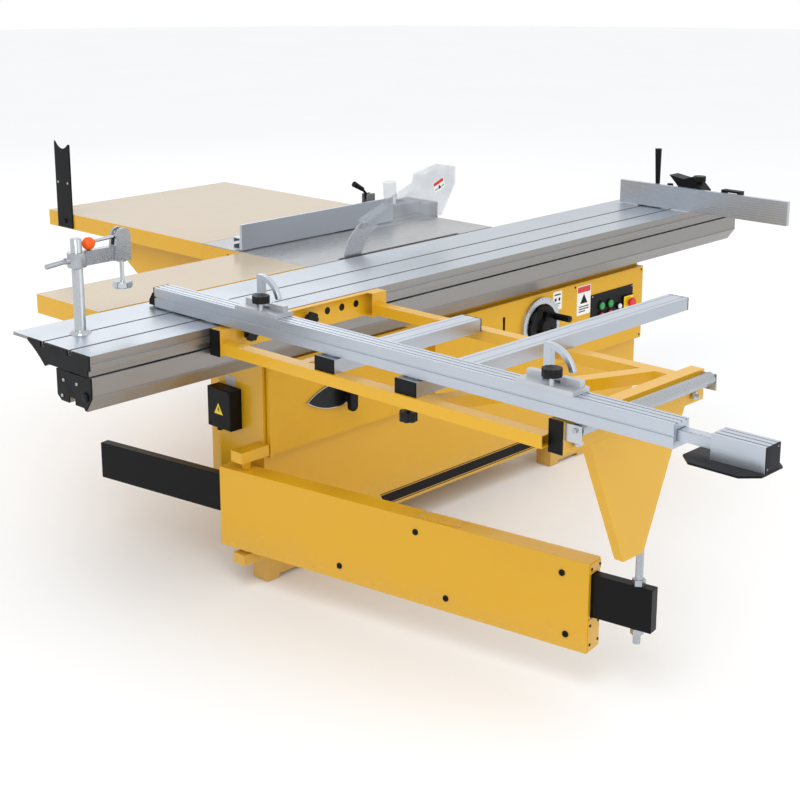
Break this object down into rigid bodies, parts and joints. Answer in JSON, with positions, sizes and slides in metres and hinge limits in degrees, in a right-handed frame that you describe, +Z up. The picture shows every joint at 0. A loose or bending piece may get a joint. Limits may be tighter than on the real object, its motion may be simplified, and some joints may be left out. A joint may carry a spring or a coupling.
{
  "type": "sliding-table panel saw",
  "caption": "Sliding-table panel saw with crosscut outrigger on a swing arm, rip fence, side and outfeed tables, hold-down clamp and cabinet base.",
  "frame": {"origin": "on the floor at the bottom centre of the whole machine", "axes": "+X along the sliding table toward the operator, +Y across toward the side table, +Z up"},
  "size_m": [3.208, 3.575, 1.158],
  "materials": {
    "yellow": "gloss",
    "alu": "satin",
    "iron": "ground",
    "black_plastic": "matte",
    "black_steel": "satin",
    "zinc": "satin",
    "chrome": "polished",
    "steel": "ground",
    "clear": "clear",
    "orange": "gloss",
    "red": "gloss",
    "green": "gloss",
    "grey": "satin"
  },
  "bodies": {
    "base": {"cabinet": "yellow", "control_box": "yellow", "control_panel": "black_plastic", "electrical_box": "black_plastic", "cast_table": "iron", "outfeed_table": "yellow", "side_table": "yellow", "table_brackets": "yellow", "fork_bracket": "black_steel", "slide_beam": "alu", "beam_end_plates": "black_plastic", "rip_rail": "chrome", "trunnion_supports": "iron"},
    "door": {"door": "yellow"},
    "door_knob": {"door_knob": "black_plastic"},
    "height_wheel": {"height_wheel": "black_plastic"},
    "tilt_wheel": {"tilt_wheel": "black_plastic"},
    "start_main": {"start_main": "green"},
    "start_scoring": {"start_scoring": "green"},
    "stop_main": {"stop_main": "red"},
    "stop_scoring": {"stop_scoring": "red"},
    "emergency_stop": {"emergency_stop": "red"},
    "table": {"sliding_table": "alu", "table_end_plates": "black_plastic", "crosscut_frame": "yellow", "support_bars": "alu", "end_caps": "black_plastic", "frame_hardware": "black_plastic", "v_leg": "yellow", "cross_fence": "alu", "short_fence": "alu", "short_fence_fittings": "black_plastic", "clamp_post": "chrome"},
    "roller_cage": {"roller_cage": "steel"},
    "side_roller": {"side_roller": "zinc"},
    "extension": {"fence_extension": "alu", "extension_shoe": "black_steel"},
    "stop_base_1": {"stop_base_1": "alu"},
    "stop_base_2": {"stop_base_2": "alu"},
    "stop_arm_1": {"stop_arm_1": "alu"},
    "stop_arm_2": {"stop_arm_2": "alu"},
    "clamp_arm": {"clamp_arm": "zinc"},
    "clamp_lever": {"clamp_lever": "orange"},
    "clamp_spindle": {"clamp_spindle": "chrome"},
    "swing_arm": {"swing_arm": "yellow"},
    "telescope": {"telescopic_beam": "black_steel", "support_rod": "zinc"},
    "rip_carriage": {"rip_carriage": "iron"},
    "rip_fence": {"rip_fence": "alu"},
    "rip_lever": {"rip_lever": "black_plastic"},
    "tilt": {"tilt_frame": "iron", "riving_knife": "steel", "blade_guard": "clear", "scoring_motor": "grey"},
    "lift": {"lift_carriage": "iron", "drive_motor": "grey"},
    "arbor": {"arbor": "steel", "saw_blade": "steel"},
    "motor_pulley": {"motor_pulley": "steel"},
    "scoring_spindle": {"scoring_spindle": "steel"}
  },
  "joints": [
    {"name": "door_swing", "type": "hinge", "parent": "base", "child": "door", "pos_m": [-0.917, 0.013, 0.55], "axis": [0, 0, -1], "range_deg": [0, 100]},
    {"name": "door_knob_turn", "type": "hinge", "parent": "door", "child": "door_knob", "pos_m": [-0.612, -0.02, 0.533], "axis": [0, 1, 0], "range_deg": [0, 90]},
    {"name": "table_slide", "type": "slide", "parent": "base", "child": "table", "axis": [1, 0, 0], "range_m": [-0.2, 1.3]},
    {"name": "roller_cage_slide", "type": "slide", "parent": "base", "child": "roller_cage", "axis": [1, 0, 0], "range_m": [-0.1, 0.65]},
    {"name": "side_roller_spin", "type": "hinge", "parent": "table", "child": "side_roller", "pos_m": [-0.9, -1.305, 0.863], "axis": [1, 0, 0], "continuous": true},
    {"name": "extension_slide", "type": "slide", "parent": "table", "child": "extension", "axis": [0, -1, 0], "range_m": [-0.028, 0.6]},
    {"name": "stop_slide_1", "type": "slide", "parent": "table", "child": "stop_base_1", "axis": [0, 1, 0], "range_m": [-0.8, 0.34]},
    {"name": "stop_flip_1", "type": "hinge", "parent": "stop_base_1", "child": "stop_arm_1", "pos_m": [-1.132, -0.23, 0.9623], "axis": [0, 1, 0], "range_deg": [0, 90]},
    {"name": "stop_slide_2", "type": "slide", "parent": "table", "child": "stop_base_2", "axis": [0, 1, 0], "range_m": [-0.25, 0.8]},
    {"name": "stop_flip_2", "type": "hinge", "parent": "stop_base_2", "child": "stop_arm_2", "pos_m": [-1.132, -1.219, 0.9623], "axis": [0, 1, 0], "range_deg": [0, 90]},
    {"name": "clamp_arm_slide", "type": "slide", "parent": "table", "child": "clamp_arm", "axis": [0, 0, 1], "range_m": [-0.098, 0.036]},
    {"name": "clamp_lever_turn", "type": "hinge", "parent": "clamp_arm", "child": "clamp_lever", "pos_m": [-1.335, 0.143, 1.132], "axis": [0, 1, 0], "range_deg": [0, 70]},
    {"name": "clamp_spindle_slide", "type": "slide", "parent": "clamp_arm", "child": "clamp_spindle", "axis": [0, 0, -1], "range_m": [0, 0.022]},
    {"name": "arm_swing", "type": "hinge", "parent": "base", "child": "swing_arm", "pos_m": [-1.002, 0.027, 0.26], "axis": [0, 0, 1], "range_deg": [-7, 43]},
    {"name": "telescope_slide", "type": "slide", "parent": "swing_arm", "child": "telescope", "axis": [0.1495, -0.9888, 0], "range_m": [-0.1, 0.64]},
    {"name": "rip_carriage_slide", "type": "slide", "parent": "base", "child": "rip_carriage", "axis": [0, 1, 0], "range_m": [-0.28, 0.98]},
    {"name": "rip_fence_slide", "type": "slide", "parent": "rip_carriage", "child": "rip_fence", "axis": [1, 0, 0], "range_m": [-0.3, 0.15]},
    {"name": "rip_lever_turn", "type": "hinge", "parent": "rip_carriage", "child": "rip_lever", "pos_m": [0.195, 0.695, 0.974], "axis": [0, 1, 0], "range_deg": [0, 60]},
    {"name": "blade_tilt", "type": "hinge", "parent": "base", "child": "tilt", "pos_m": [-0.03, 0.31, 0.88], "axis": [-1, 0, 0], "range_deg": [0, 45]},
    {"name": "blade_lift", "type": "slide", "parent": "tilt", "child": "lift", "axis": [0, 0, 1], "range_m": [0, 0.105]},
    {"name": "arbor_spin", "type": "hinge", "parent": "lift", "child": "arbor", "pos_m": [-0.085, 0.31, 0.715], "axis": [0, 1, 0], "continuous": true},
    {"name": "motor_spin", "type": "hinge", "parent": "lift", "child": "motor_pulley", "pos_m": [-0.055, 0.38, 0.643], "axis": [0, 1, 0], "continuous": true},
    {"name": "scoring_spin", "type": "hinge", "parent": "tilt", "child": "scoring_spindle", "pos_m": [0.185, 0.31, 0.796], "axis": [0, 1, 0], "continuous": true},
    {"name": "height_wheel_turn", "type": "hinge", "parent": "base", "child": "height_wheel", "pos_m": [0.352, -0.03, 0.575], "axis": [0, 1, 0], "range_deg": [0, 3600]},
    {"name": "tilt_wheel_turn", "type": "hinge", "parent": "base", "child": "tilt_wheel", "pos_m": [1.01, 0.125, 0.575], "axis": [-1, 0, 0], "range_deg": [0, 2880]},
    {"name": "start_main_press", "type": "slide", "parent": "base", "child": "start_main", "axis": [0, 1, 0], "range_m": [0, 0.004], "stiffness_N_per_m": 400},
    {"name": "start_scoring_press", "type": "slide", "parent": "base", "child": "start_scoring", "axis": [0, 1, 0], "range_m": [0, 0.004], "stiffness_N_per_m": 400},
    {"name": "stop_main_press", "type": "slide", "parent": "base", "child": "stop_main", "axis": [0, 1, 0], "range_m": [0, 0.004], "stiffness_N_per_m": 400},
    {"name": "stop_scoring_press", "type": "slide", "parent": "base", "child": "stop_scoring", "axis": [0, 1, 0], "range_m": [0, 0.004], "stiffness_N_per_m": 400},
    {"name": "emergency_stop_press", "type": "slide", "parent": "base", "child": "emergency_stop", "axis": [0, 1, 0], "range_m": [0, 0.004], "stiffness_N_per_m": 800}
  ],
  "couplings": [
    {"joint": "roller_cage_slide", "follows": "table_slide", "ratio": 0.5},
    {"joint": "arm_swing", "follows": "table_slide", "rad_per_m": 0.568},
    {"joint": "telescope_slide", "follows": "table_slide", "ratio": 0.483},
    {"joint": "clamp_spindle_slide", "follows": "clamp_lever_turn", "m_per_rad": 0.0175},
    {"joint": "motor_spin", "follows": "arbor_spin", "ratio": 1.25},
    {"joint": "height_wheel_turn", "follows": "blade_lift", "rad_per_m": 598},
    {"joint": "tilt_wheel_turn", "follows": "blade_tilt", "ratio": 63.9}
  ]
}
